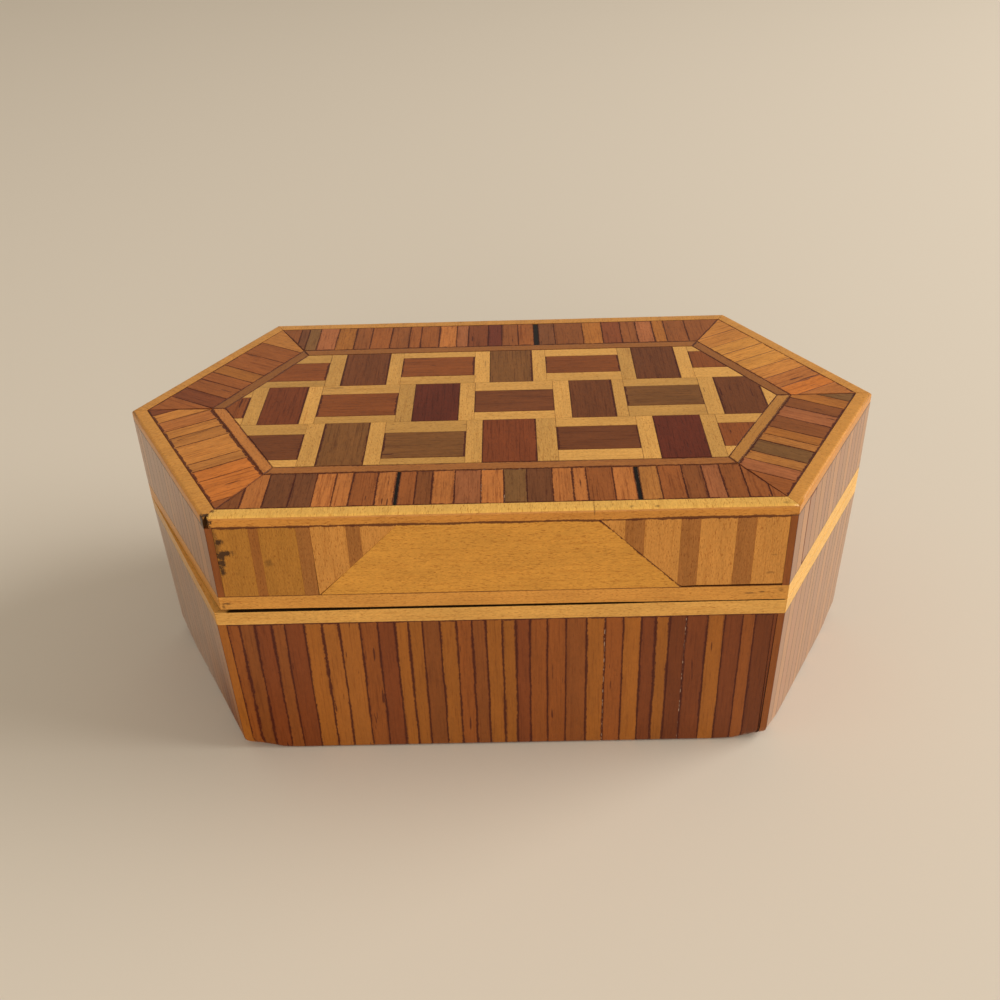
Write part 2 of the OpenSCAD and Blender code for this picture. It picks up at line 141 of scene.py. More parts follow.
# Knots, dents and scratches in the light wood: middle and half sizes in millimetres, depth of colour
SCARS = (
    ((-32.6, -26.8, 32.5), (0.8, 1.0, 0.36), 1.6), ((-33.15, -26.8, 32.1), (0.4, 1.0, 0.5), 1.2),
    ((-33.1, -26.8, 34.1), (0.4, 1.0, 0.4), 1.2), ((-33.2, -26.8, 31.1), (0.4, 1.0, 0.65), 1.2),
    ((-33.2, -26.8, 29.8), (0.3, 1.0, 0.5), 0.9), ((-33.45, -26.8, 33.0), (0.3, 1.0, 3.2), 0.6),
    ((-27.6, -26.8, 31.0), (0.42, 1.0, 0.55), 0.45), ((-33.6, -26.8, 25.0), (0.55, 1.0, 0.14), 0.7),
    ((-34.0, -26.8, 24.5), (0.2, 1.0, 0.3), 0.6), ((-34.5, -26.6, 36.8), (0.8, 0.9, 0.75), 2.2),
    ((-33.6, -25.4, 37.6), (0.3, 0.3, 0.3), 0.75), ((-34.1, -26.1, 37.6), (0.3, 0.35, 0.3), 0.9),
    ((10.9, -26.4, 37.3), (0.09, 1.2, 0.8), 0.55), ((15.2, -26.3, 37.5), (0.32, 0.28, 0.4), 0.5),
    ((18.2, -26.35, 37.5), (0.26, 0.26, 0.4), 0.5), ((33.0, -26.2, 37.5), (0.3, 0.22, 0.4), 0.4),
    ((29.9, -26.8, 24.95), (0.6, 1.0, 0.1), 0.7), ((31.3, -26.8, 25.1), (0.4, 1.0, 0.12), 0.7),
    ((33.6, -26.8, 25.4), (0.35, 1.0, 0.3), 0.4), ((32.0, -26.8, 28.0), (0.5, 1.0, 0.18), 0.4),
    ((32.3, -26.8, 30.6), (0.4, 1.0, 0.14), 0.3),
)


def linear(red, green, blue):
    """A screen colour, 0 to 255, as the linear colour that Blender mixes"""
    return tuple(
        c / 12.92 if c <= 0.04045 else ((c + 0.055) / 1.055) ** 2.4
        for c in (red / 255, green / 255, blue / 255)
    )


def hue(name, words, *screen):
    """A colour that a user may change"""
    return FloatVectorProperty(
        name=name, description=words, subtype="COLOR", size=3, min=0, max=1,
        default=linear(*screen),
    )


def length(name, words, millimetres, most=10):
    """A length that a user may change"""
    return FloatProperty(
        name=name, description=words, unit="LENGTH", precision=5,
        default=millimetres * MM, min=0, max=most * MM,
    )


def watts(name, words, power):
    """A lamp's power that a user may change"""
    return FloatProperty(
        name=name, description=words, unit="POWER", default=power, min=0, max=40)


class TrinketBoxWoods(bpy.types.PropertyGroup):
    maple: hue("Maple", "Light wood of the rims", 208, 143, 64)
    # Painted highlight: a lighter copy of the maple, for the edging's top at the front and for the front
    # right rims
    maple_highlight: hue("Maple_highlight", "The edging seen from above", 232, 177, 86)
    straw: hue("Straw", "Light bars of the weave", 212, 156, 78)
    panel: hue("Panel", "Light wood of the plain panel", 208, 144, 58)
    honey: hue("Honey", "Redder light wood between the front stripes", 198, 134, 62)
    butter: hue("Butter", "Yellower light wood between the front stripes", 172, 114, 43)
    nut: hue("Nut", "Brown stripes of the front", 158, 100, 46)
    tan: hue("Tan", "Pale brown strips", 174, 112, 54)
    gold: hue("Gold", "Golden orange strips", 184, 119, 56)
    # Painted shade: a darker copy of the maple, for the edging's sides
    maple_shade: hue("Maple_shade", "The edging seen from the side", 200, 133, 56)
    orange: hue("Orange", "Orange brown strips", 178, 108, 54)
    amber: hue("Amber", "The brightest orange strips", 188, 109, 46)
    chestnut: hue("Chestnut", "Golden brown strips", 154, 94, 40)
    sienna: hue("Sienna", "Orange brown strips of the sides", 142, 80, 38)
    cedar: hue("Cedar", "Brighter golden strips of the sides", 162, 100, 46)
    rosewood: hue("Rosewood", "Pinkish brown strips", 152, 90, 54)
    russet: hue("Russet", "Red brown blocks", 120, 62, 33)
    mahogany: hue("Mahogany", "Dark red brown strips", 110, 56, 29)
    walnut: hue("Walnut", "Brown strips and blocks", 130, 74, 37)
    olive: hue("Olive", "Olive brown blocks", 118, 80, 44)
    umber: hue("Umber", "Dark brown blocks", 110, 64, 36)
    maroon: hue("Maroon", "The darkest blocks", 96, 42, 28)
    ebony: hue("Ebony", "Slivers of black filler", 15, 7, 5)
    glue: hue("Glue", "Old glue in the joints", 74, 26, 14)
    # Painted shade: the colour that darkens the rims' faces at the front seam, so that the gap looks as
    # dark as its shadow
    grime: hue("Grime", "Dirt in the seam", 22, 12, 8)
    scar: hue("Scar", "Knots, dents and burnt spots", 74, 46, 22)
    # Painted sheen: a lighter colour mixed in where a face is seen at a slant, standing in for the
    # varnish's reflection
    slant_sheen: hue("Slant_sheen", "Old varnish seen at a slant", 180, 144, 112)
    # Painted highlight: pale flecks where a joint catches the light
    chalk: hue("Chalk", "Pale dust caught in a joint", 200, 168, 140)
    carcass: hue("Carcass", "Plain wood of the walls and boards", 190, 146, 96)
    brass: hue("Brass", "Brass of the hinges and screws", 212, 176, 104)
    tarnish: hue("Tarnish", "Brown film on the brass", 120, 84, 46)


class TrinketBoxSizes(bpy.types.PropertyGroup):
    arris: length("Arris", "Width of the softened arris of a strip", 0.03, 0.2)
    glue_reach: length("Glue reach", "How far in from its edge a strip's glue line is drawn", 0.36, 0.6)
    facing_glue: length("Facing glue", "Width of the glue lines between the strips of a side", 0.1, 0.4)
    band_glue: length("Band glue", "Width of the glue lines in the bands of the top", 0.07, 0.4)
    weave_glue: length("Weave glue", "Width of the glue lines in the weave", 0.03, 0.4)
    panel_glue: length("Panel glue", "Width of the glue lines round the front panels", 0.0, 0.4)
    closing: length("Closing", "How far each strip is swelled towards its neighbour", 0.029, 0.03)
    panel_gap: length("Panel gap", "Gap under the right striped panel", 0.27, 0.5)
    base_corner: length("Base corner", "How far the base's front left corner stands out", 0.85, 1)
    joint_waver: length("Joint waver", "How far the joints between strips wander", 0.07, 0.3)
    # Painted shade: how far in from the front the seam's darkening reaches
    seam_shade_reach: length("Seam grime", "How far in the dirt of the seam reaches", 1.15, 2)
    foot_round: length("Foot rounding", "Radius of the worn bottom arris", 0.45, 1)
    foot_corner_round: length("Foot corner rounding", "Radius of the worn bottom corners", 2.2, 2.4)
    seam_open_left: length("Seam, left", "Width of the seam at the front left corner", 0.52, 0.6)
    seam_open_right: length("Seam, right", "Width of the seam at the front right corner", 0.12, 0.6)
    sliver: length("Sliver", "How much narrower the slivers of filler are drawn, on each side", 0.12, 0.2)
    edge_waver: length("Waver", "How far the sawn edges of the rims and edging stray", 0.05, 0.1)


class TrinketBoxStage(bpy.types.PropertyGroup):
    floor: hue("Floor", "Colour of the floor", 224, 211, 192)
    sky: hue("Surround", "Colour of the light all round", 250, 241, 226)
    sky_strength: FloatProperty(
        name="Surround strength", description="Brightness of the light all round",
        default=0.45, min=0, max=2)
    key_power: watts("Key power", "Power of the large soft lamp", 11.2)
    fill_power: watts("Fill power", "Power of the lamp from the front", 4.1)
    camera_at: FloatVectorProperty(
        name="Camera place", description="Where the camera stands", subtype="TRANSLATION",
        unit="LENGTH", size=3, default=(0.002012, -0.135567, 0.109885))
    camera_turn: FloatVectorProperty(
        name="Camera turn", description="How the camera is turned about X, Y and Z",
        subtype="EULER", unit="ROTATION", size=3, default=(0.993889, 0.027389, 0.000171))
    camera_lens: FloatProperty(
        name="Camera lens", description="Focal length on a 36 mm sensor", subtype="DISTANCE_CAMERA",
        default=40.824, min=10, max=200)


# Sides, and welded copies of the CAD pieces


def chosen_sizes():
    return bpy.context.scene.trinket_box_sizes


def chosen_woods():
    return bpy.context.scene.trinket_box_woods


def held(value):
    """A value held between 0 and 1"""
    return min(1.0, max(0.0, value))


def facing(side):
    """The way a side faces, and the way along it"""
    angle = side * SLANT - math.pi / 2
    return Vector((math.cos(angle), math.sin(angle), 0)), Vector((-math.sin(angle), math.cos(angle), 0))


def side_far(side):
    """How far a side's face lies from the middle of the box"""
    return HALF_DEPTH if side % 3 == 0 else HALF_LENGTH * math.sin(SLANT)


def side_of(point):
    """The side that a point near the rim belongs to"""
    return max(range(6), key=lambda side: point.dot(facing(side)[0]) - side_far(side))


def from_corner(side, point):
    """How far a point is from the nearer end of its side"""
    along = point.dot(facing(side)[1])
    if side % 3 == 0:
        return HALF_LENGTH - HALF_DEPTH / math.tan(SLANT) - abs(along)
    run = HALF_DEPTH / math.sin(SLANT)
    middle = {FRONT_RIGHT: 1, BACK_LEFT: 1}.get(side, -1) * (HALF_LENGTH / 2 - run / 2)
    return run / 2 - abs(along - middle)


def welded(node):
    """A copy of a CAD node, welded along its loose triangles, without those that have no area"""
    near = 0.002 * MM
    made = bmesh.new()
    made.from_mesh(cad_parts[node].data)
    bmesh.ops.remove_doubles(made, verts=made.verts, dist=near)
    bmesh.ops.dissolve_degenerate(made, dist=near, edges=made.edges)
    return made


def blank(node):
    """A welded copy of a CAD node, with flat faces made whole. Where a node has holes, a seam runs
    through each of them, because a flat face can't have a hole in it"""
    made = welded(node)
    if node in HOLED:
        places = [sum(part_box(f"{hand}_hinge_pin"), Vector()) / 2 for hand in HANDS]
        for body in BODIES:
            screws = welded(f"{body}_hinge_screws")
            places += [middle_of(solid) for solid in solids(screws)]
            screws.free()
        for place in places:
            for normal in (RIGHT, REAR):
                for part in cut(made, place, normal)["geom_cut"]:
                    if isinstance(part, bmesh.types.BMEdge):
                        part.seam = True
    bmesh.ops.dissolve_limit(
        made, angle_limit=math.radians(0.5), verts=made.verts, edges=made.edges, delimit={"SEAM"})
    return made


def solids(made):
    """The separate solids in a mesh, each as a list of its faces, sorted by where they lie"""
    seen, found = set(), []
    for first in made.faces:
        if first in seen:
            continue
        seen.add(first)
        solid = [first]
        for face in solid:
            for edge in face.edges:
                for beside in edge.link_faces:
                    if beside not in seen:
                        seen.add(beside)
                        solid.append(beside)
        found.append(solid)
    return sorted(found, key=lambda solid: tuple(round(part, 5) for part in middle_of(solid)))


def corners_of(solid):
    """Where the corners of a solid's faces lie. One that faces share comes more than once"""
    return [v.co for face in solid for v in face.verts]


def middle_of(solid):
    """The middle of a solid's box"""
    points = corners_of(solid)
    return (Vector(map(min, *points)) + Vector(map(max, *points))) / 2


def in_order(made, along):
    """The solids of a mesh in order along a direction"""
    return sorted(solids(made), key=lambda solid: middle_of(solid).dot(along))


def lettered(strips, letters, node):
    """Each strip with the letter of its wood"""
    if len(strips) != len(letters):
        raise RuntimeError(f"{node} has {len(strips)} strips and {len(letters)} woods")
    return zip(strips, letters)


def verts_of(solid):
    return {v for face in solid for v in face.verts}


def reach_of(points, way):
    """How far the lowest and the highest of some points lie along a direction"""
    reaches = [v.co.dot(way) for v in points]
    return min(reaches), max(reaches)


def cut(made, point, normal):
    """One loop of new edges across a mesh"""
    return bmesh.ops.bisect_plane(
        made, geom=made.verts[:] + made.edges[:] + made.faces[:],
        dist=1e-7, plane_co=point, plane_no=normal,
    )


def bevelled(made, edges, width, segments=1):
    bmesh.ops.bevel(
        made, geom=edges, offset=width, offset_type="OFFSET", affect="EDGES",
        segments=segments, profile=0.5, material=-1, clamp_overlap=True)


def soften(made, shown):
    """A small flat arris round every shown face"""
    edges = [edge for edge in made.edges if any(shown(face) for face in edge.link_faces)]
    bevelled(made, edges, chosen_sizes().arris)


def draw_rims(made, shown, reach):
    """Softens every shown face and insets it, with the depth from its glue line on its points"""
    soften(made, shown)
    rim = made.verts.layers.float.new("rim")
    for face in [face for face in made.faces if shown(face)]:
        depth = min(reach, 0.4 * 2 * face.calc_area() / face.calc_perimeter())
        for loop in face.loops:
            ends = (loop, loop.link_loop_next)
            pinch = sum(1 / math.tan(max(0.05, end.calc_angle() / 2)) for end in ends)
            if pinch > 0:
                depth = min(depth, 0.7 * loop.edge.calc_length() / pinch)
        bmesh.ops.inset_region(
            made, faces=[face], thickness=depth, use_even_offset=True, use_boundary=True)
        for vert in face.verts:
            vert[rim] = reach / MM


def blunt(made):
    """Draws the shortest edges together"""
    bmesh.ops.dissolve_degenerate(made, dist=SHORT_EDGE, edges=made.edges)


def close_up(made, ways, amount):
    """Swells every solid along some directions, to narrow the gaps beside it"""
    for solid in solids(made):
        verts = verts_of(solid)
        for way in ways:
            low, high = reach_of(verts, way)
            middle, half = (low + high) / 2, (high - low) / 2
            for vert in verts:
                vert.co += way * ((vert.co.dot(way) - middle) / half * amount)


class Marker:
    """Writes each solid's wood, seed, glue and grain into its mesh"""

    def __init__(self, made, name, tint=(1, 1, 1)):
        self.tint = tint
        self.chance = random.Random(name)
        self.tone = made.faces.layers.float_color.new("tone")
        self.seed = made.faces.layers.float.new("seed")
        self.glue = made.faces.layers.float.new("glue")
        # Where a face carries the painted glints of its joint
        self.chalk = made.faces.layers.float.new("chalk")
        # How much of the seam's painted shade each corner carries
        self.grime = made.loops.layers.float.new("grime")
        self.grain = made.loops.layers.uv.new("Grain")

    def mark(self, solid, letter, along, glue=0.0, vary=0.07, shows=(), top=None):
        """Glue lines are drawn only on faces that look one of the ways in shows. The top of a piece may
        have its own wood and grain"""
        light = 1 + vary * self.chance.uniform(-1, 1)
        glue *= self.chance.uniform(0.55, 1.4)
        seed = self.chance.random()
        points = corners_of(solid)
        far = along.cross(shows[0]) if shows else UP
        middle = sum((p.dot(far) for p in points), 0.0) / len(points)
        for face in solid:
            ways = top if top and face.normal.z > 0.6 else (letter, along)
            wood = getattr(chosen_woods(), WOODS[ways[0].lower()])
            face[self.tone] = (*(part * light * stain for part, stain in zip(wood, self.tint)), 1)
            face[self.seed] = seed
            seen = any(face.normal.dot(way) > 0.6 for way in shows)
            face[self.glue] = max(glue / MM, 1e-6) if seen else 0.0
            # Painted highlight: a sliver, and one side of a capital's strip, glints in its joint
            glinting = letter == "K" or letter.isupper() and face.calc_center_median().dot(far) > middle
            face[self.chalk] = float(glinting)
            across = face.normal.cross(ways[1])
            if across.length < 0.3:
                across = ways[1].orthogonal()
            across.normalize()
            for loop in face.loops:
                point = loop.vert.co
                loop[self.grain].uv = (point.dot(ways[1]) / MM, point.dot(across) / MM)

    def joint(self, solid, way, glue):
        """Another glue width along the edge of a solid that lies furthest in a direction"""
        most = max(point.dot(way) for point in corners_of(solid))
        for face in solid:
            if face[self.glue] and face.calc_center_median().dot(way) > most - 0.32 * MM:
                face[self.glue] = glue / MM


def wander(made, along, across, reach):
    """Lets joints wander along a side, each joint's two sides together, and leaves the ends be"""
    low, high = reach_of(made.verts, along)
    for vert in made.verts:
        place, height = vert.co.dot(along), vert.co.dot(across)
        free = min(1.0, (place - low) / (4 * MM), (high - place) / (4 * MM))
        pitched, own = place / (2.6 * MM), 3.1 * along.x + 5.7 * along.y + 2.3
        stray = noise.noise(Vector((pitched, height / (9 * MM), own)))
        fine = noise.noise(Vector((pitched, height / (2.2 * MM), 8.9 + along.y)))
        vert.co += along * reach * free * (stray + 0.35 * fine)


def placed(name, data):
    """A new object in the scene, at the origin"""
    made = bpy.data.objects.new(name, data)
    bpy.context.scene.collection.objects.link(made)
    return made


def piece(made, body, node, word, finish, smooth=None):
    """Turns a finished mesh into a piece that rides on a body in place of its CAD node"""
    name = f"{node}_{word}"
    mesh = bpy.data.meshes.new(name)
    for vert in made.verts:
        vert.co.y = max(vert.co.y, -HALF_DEPTH)
        vert.co.z = max(vert.co.z, 0.0)
    made.normal_update()
    made.to_mesh(mesh)
    made.free()
    mesh.materials.clear()
    mesh.materials.append(mixed(finish))
    if smooth is not None:
        mesh.shade_smooth()
        mesh.set_sharp_from_angle(angle=math.radians(smooth))
    made_object = placed(name, mesh)
    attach(made_object, body)
    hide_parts(node)


# Finishes


def both_ways(operation):
    """A Math node's operation as a Python operator and its reflected form"""
    return (
        lambda self, other: self.finish.maths(operation, self, other),
        lambda self, other: self.finish.maths(operation, other, self))


class Socket:
    """A node's output. Sums and products with it add Math nodes"""

    def __init__(self, finish, output):
        self.finish = finish
        self.output = output

    __add__, __radd__ = both_ways("ADD")
    __sub__, __rsub__ = both_ways("SUBTRACT")
    __mul__, __rmul__ = both_ways("MULTIPLY")


class Finish:
    """A material with one Principled shader, whose fixed sockets are set by name"""

    def __init__(self, name, **fixed):
        self.material = bpy.data.materials.new(name)
        self.material.use_nodes = True
        self.tree = self.material.node_tree
        self.shader = self.tree.nodes["Principled BSDF"]
        for socket, value in fixed.items():
            self.shader.inputs[socket.replace("_", " ")].default_value = value

    def node(self, kind, inputs=None, output=0, **settings):
        """Any shader node: its settings, then the values or links of its sockets"""
        made = self.tree.nodes.new(f"ShaderNode{kind}")
        for name, value in settings.items():
            setattr(made, name, value)
        for name, value in (inputs or {}).items():
            if isinstance(value, Socket):
                self.tree.links.new(value.output, made.inputs[name])
            else:
                made.inputs[name].default_value = value
        return Socket(self, made.outputs[output])

    def feed(self, name, value):
        self.tree.links.new(value.output, self.shader.inputs[name])

    def attribute(self, name, output="Fac"):
        return self.node("Attribute", output=output, attribute_name=name)

    def grain(self):
        """A solid's tone and seed, and how far a point lies along and across its grain in millimetres"""
        along, across, _ = self.parts(self.node("UVMap", uv_map="Grain"))
        return self.attribute("tone", "Color"), self.attribute("seed"), along, across

    def place(self):
        """Where a point lies on the box, in metres"""
        return self.node("TexCoord", output="Object")

    def maths(self, operation, *values):
        return self.node("Math", dict(enumerate(values)), operation=operation)

    def span(self, operation, first, second, output=0):
        """Vector maths on two vectors"""
        return self.node("VectorMath", {0: first, 1: second}, output, operation=operation)

    def scaled(self, vector, factor):
        return self.node("VectorMath", {0: vector, 3: factor}, operation="SCALE")

    def vector(self, x, y, z):
        return self.node("CombineXYZ", {0: x, 1: y, 2: z})

    def parts(self, vector):
        made = self.node("SeparateXYZ", {0: vector}).output.node
        return [Socket(self, made.outputs[i]) for i in range(3)]

    def noise(self, vector, detail=2.0, roughness=0.5):
        return self.node(
            "TexNoise",
            {"Vector": vector, "Scale": 1.0, "Detail": detail, "Roughness": roughness})

    def smooth(self, value, low, high):
        """0 below low, 1 above high, and the other way round where low is the greater"""
        return self.node(
            "MapRange", {0: value, 1: low, 2: high}, interpolation_type="SMOOTHSTEP")

    def mix(self, factor, first, second, blend="MIX"):
        return self.node(
            "Mix", {0: factor, 6: first, 7: second}, 2, data_type="RGBA", blend_type=blend)

    def bump(self, height, depth):
        """Feeds the normal with a height from 0 to 1 over a depth in millimetres"""
        self.feed("Normal", self.node(
            "Bump", {"Strength": 1.0, "Distance": depth * MM, "Height": height}))


def opaque(colour):
    return (*colour, 1.0)


def spots(f, marks):
    """A mask of blemishes, each with its middle, half sizes and depth of colour"""
    place = f.scaled(f.place(), 1 / MM)
    ragged = f.noise(f.scaled(place, 2.2), 4.0, 0.7)
    mask = 0.0
    for middle, halves, depth in marks:
        away = f.span("DIVIDE", f.span("SUBTRACT", place, middle), halves)
        far = f.node("VectorMath", {0: away}, "Value", operation="LENGTH")
        mask = mask + f.smooth(far + (ragged - 0.5) * 2.8, 1.5, 0.3) * depth
    return f.node("Clamp", {0: mask})


def level_joints(f, ragged, presence):
    """Dark lines under the edging and over the lid's rim, where the front panels end"""
    height = f.parts(f.place())[2] * (1 / MM)
    mask = 0.0
    for level, width in ((EDGING, 0.13), (RIM_LID, 0.035)):
        off = f.maths("ABSOLUTE", height - level / MM)
        mask = mask + f.smooth(off - width * (ragged * 2.4 + presence * 3.6 - 2.0), 0.07, -0.03)
    return f.node("Clamp", {0: mask})


def varnished_wood(
        name, streak, fleck, blotch, mottled, coat,
        tint=(0.42, 0.27, 0.17), marks=(), fine=1.0, slant_sheen=0.0):
    """Wood under satin varnish, in the colour and along the grain that each solid carries.
    Streaks run along the grain, flecks are short dashes of ray or pore, blotches are broad.
    The slant sheen is painted: a lighter colour is mixed in where a face is seen at a slant, standing in
    for the old varnish's reflection"""
    woods = chosen_woods()
    f = Finish(
        name, Coat_Weight=coat, Coat_Roughness=0.28, Coat_IOR=1.24, Specular_IOR_Level=0.08)
    tone, seed, along, across = f.grain()

    def grain(pitch_along, pitch_across, shift, detail=2.0, roughness=0.5):
        """Noise with a given pitch in millimetres, along and across the grain"""
        return f.noise(f.vector(
            along * (1 / pitch_along) + seed * (53.0 + shift), across * (1 / pitch_across),
            seed * 19.0 + shift), detail, roughness)

    broad = grain(8.0, 1.9, 3.0)
    lines = grain(6.0, 0.24, 17.0, 4.0, 0.65)
    dashes = grain(0.8 * fine, 0.15 * fine, 29.0, 2.0)
    mottle = grain(0.8 * fine, 0.36 * fine, 41.0, 4.0, 0.66)
    cracks = grain(4.5, 0.45, 57.0, 1.0)

    colour = f.scaled(tone, 1.0 + (broad - 0.5) * blotch + (mottle - 0.5) * mottled)
    dark = f.mix(1.0, colour, opaque(tint), "MULTIPLY")
    streaks = f.smooth(lines, 0.48, 0.72) * streak
    flecks = f.smooth(dashes, 0.56, 0.70) * fleck
    colour = f.mix(streaks, colour, dark)
    colour = f.mix(flecks, colour, dark)

    # Glue lines, ragged along their length and now and then missing
    rim = f.attribute("rim")
    glue = f.attribute("glue")
    ragged = grain(0.42, 0.6, 61.0, 3.0, 0.75)
    presence = grain(6.0, 1.4, 73.0)
    stray = (ragged - 0.5) * 5.5 + (presence - 0.5) * 3.0 - 0.1
    width = glue + f.maths("MINIMUM", glue, 0.11) * stray
    line = f.smooth(rim - width, 0.06, -0.04) * f.smooth(glue, 0.0, 0.02)
    stain = f.smooth(rim, 0.36, 0.04) * f.smooth(presence, 0.42, 0.62) * f.smooth(glue, 0.02, 0.1)
    split = f.smooth(cracks, 0.715, 0.74) * f.smooth(seed, 0.66, 0.7) * f.smooth(glue, 0.0, 0.02)
    colour = f.mix(stain * 0.5, colour, dark)
    colour = f.mix(line * 0.88, colour, opaque(woods.glue))
    colour = f.mix(split * 0.8, colour, opaque(woods.glue))
    # Painted highlight: pale flecks along the joints of some strips, where a joint catches the light
    chalk = f.smooth(grain(0.7, 0.5, 83.0), 0.54, 0.62) * f.smooth(rim, 0.11, 0.05)
    colour = f.mix(chalk * f.attribute("chalk") * 0.6, colour, opaque(woods.chalk))
    if marks:
        scar = spots(f, marks)
        colour = f.mix(scar, colour, opaque(woods.scar))
        colour = f.mix(level_joints(f, ragged, presence) * 0.85, colour, opaque(woods.glue))
        # Painted shade: the rims' faces at the front seam are darkened, so that the narrow gap looks as
        # dark as its shadow
        painted_seam_shade = f.smooth(f.attribute("grime") + (ragged - 0.5) * 0.5, 0.12, 0.42)
        colour = f.mix(painted_seam_shade * 0.95, colour, opaque(woods.grime))
    # Painted sheen: where a face is seen at a slant, a lighter colour is mixed into its base colour,
    # standing in for the varnish's reflection
    if slant_sheen:
        slant = f.node("LayerWeight", {"Blend": 0.5}, "Facing")
        # Painted shade, partly: towards the foot of the front left corner the painted sheen fades out and
        # the varnish coat thins, so that the foot is darker, as the shade there
        varnish = f.smooth(f.span("DISTANCE", f.place(), SHADED_FOOT, "Value"), *SHADED_FOOT_REACH)
        colour = f.mix(f.smooth(slant, 0.68, 0.92) * slant_sheen * varnish, colour, opaque(woods.slant_sheen))
        f.feed("Coat Weight", varnish * coat)
    f.feed("Base Color", colour)
    f.feed("Roughness", 0.4 + (mottle - 0.5) * 0.25 + flecks * 0.15)
    height = 0.6 + (mottle - 0.5) * 0.5 - streaks * 0.3 - flecks * 0.5 - line * 0.6 - split * 0.8
    f.bump(height - scar * 0.8 if marks else height, 0.035)
    return f.material


def plain_wood(name):
    """Thinly sealed wood for the inside and the underside"""
    f = Finish(name, Coat_Weight=0.08, Coat_Roughness=0.4, Specular_IOR_Level=0.35)
    tone, seed, along, across = f.grain()
    rings = f.noise(f.vector(along * 0.03, across * 0.45 + seed * 31.0, seed * 7.0), 3.0, 0.6)
    fine = f.noise(f.vector(along * 0.12, across * 4.5, seed * 13.0), 4.0, 0.65)
    pores = f.noise(f.vector(along * 0.8, across * 9.0, seed * 23.0), 2.0)
    dark = f.mix(1.0, tone, opaque((0.62, 0.46, 0.32)), "MULTIPLY")
    bands = f.smooth(f.maths("FRACT", rings * 7.0), 0.35, 0.95)
    colour = f.mix(bands * 0.4 + f.smooth(fine, 0.45, 0.7) * 0.35, tone, dark)
    holes = f.smooth(pores, 0.62, 0.72)
    f.feed("Base Color", f.mix(holes * 0.5, colour, dark))
    f.feed("Roughness", 0.62 + (fine - 0.5) * 0.2)
    f.bump(0.6 - holes * 0.6 + (fine - 0.5) * 0.4, 0.03)
    return f.material


def aged_brass(name):
    """Brass that was once polished, brown where fingers don't reach"""
    woods = chosen_woods()
    f = Finish(name, Metallic=1.0)
    place = f.scaled(f.place(), 1 / MM)
    film = f.noise(place, 4.0, 0.6)
    x, y, z = f.parts(place)
    scratches = f.noise(f.vector(x * 0.6, y * 9.0, z * 9.0), 3.0, 0.7)
    dull = f.smooth(film, 0.5, 0.68)
    f.feed("Base Color", f.mix(dull * 0.75, opaque(woods.brass), opaque(woods.tarnish)))
    f.feed("Roughness", 0.26 + dull * 0.26 + scratches * 0.12)
    f.bump(scratches * 0.7 + film * 0.3, 0.012)
    return f.material


MIXES = {
    # The side strips carry a painted sheen where they are seen at a slant
    "strips": lambda: varnished_wood("varnished strips", 0.4, 0.2, 0.35, 0.4, 1.0, slant_sheen=0.55),
    "inlay": lambda: varnished_wood("varnished inlay", 0.7, 0.4, 0.5, 0.6, 0.35),
    "light": lambda: varnished_wood(
        "varnished light wood", 0.35, 0.8, 0.3, 0.6, 0.6, (0.6, 0.42, 0.24), SCARS, 0.62),
    "plain": lambda: plain_wood("sealed carcass wood"),
    "brass": lambda: aged_brass("aged brass"),
}


@functools.cache
def mixed(finish):
    """A finish that several pieces share, mixed when first asked for"""
    return MIXES[finish]()


# Hand work that the shaping of several pieces shares


def faces_out(side):
    """A test for the faces that show from outside: those that look out from a side, and on a slanting
    side also the ends that its strips show at the front and the back"""
    out = facing(side)[0]

    def shown(face):
        if face.normal.dot(out) > SQUARE_ON:
            return True
        end = abs(face.calc_center_median().y) > HALF_DEPTH - 0.7 * MM
        return side % 3 and abs(face.normal.y) > SQUARE_ON and end

    return shown


def faces_up(face):
    return face.normal.z > SQUARE_ON


def waver(point):
    """A slow wander along a sawn edge, its own at each level"""
    pitch, level = 7 * MM, round(point.z / (2 * MM))
    stray = noise.noise(Vector((point.x / pitch, point.y / pitch, level * 1.7)))
    return chosen_sizes().edge_waver * stray


def wander_joints(made):
    """Lets the joints under the rims and the edging stray together on both of their sides"""
    for vert in made.verts:
        for level in (RIM_BASE, RIM_LID, EDGING):
            if abs(vert.co.z - level) < 0.08 * MM:
                vert.co.z += waver(Vector((vert.co.x, vert.co.y, level)))
                break


def round_foot(made, side):
    """Wears the bottom arris of one side of the base, and its corners more"""
    sizes = chosen_sizes()
    along = facing(side)[1]
    corner, fade = 7.5 * MM, 4 * MM
    for height in (0.06, 0.18, 0.36, 0.62, 1.0, 1.5, 2.1):
        cut(made, UP * height * MM, UP)
    low, high = reach_of(made.verts, along)
    for inward in (0.7, 1.5, 2.6, 4.0):
        cut(made, along * (low + inward * MM), along)
        cut(made, along * (high - inward * MM), along)
    for vert in made.verts:
        shift = Vector()
        for near_side in (side - 1) % 6, side, (side + 1) % 6:
            out = facing(near_side)[0]
            depth = side_far(near_side) - vert.co.dot(out)
            near = held(1 - from_corner(near_side, vert.co) / corner)
            radius = sizes.foot_round + (sizes.foot_corner_round - sizes.foot_round) * near * near
            rise = min(radius, radius - vert.co.z)
            if rise > 0 and depth < fade:
                fall = radius - math.sqrt(max(0.0, radius ** 2 - rise ** 2))
                shift -= out * fall * (1 - max(0.0, depth) / fade)
        vert.co += shift


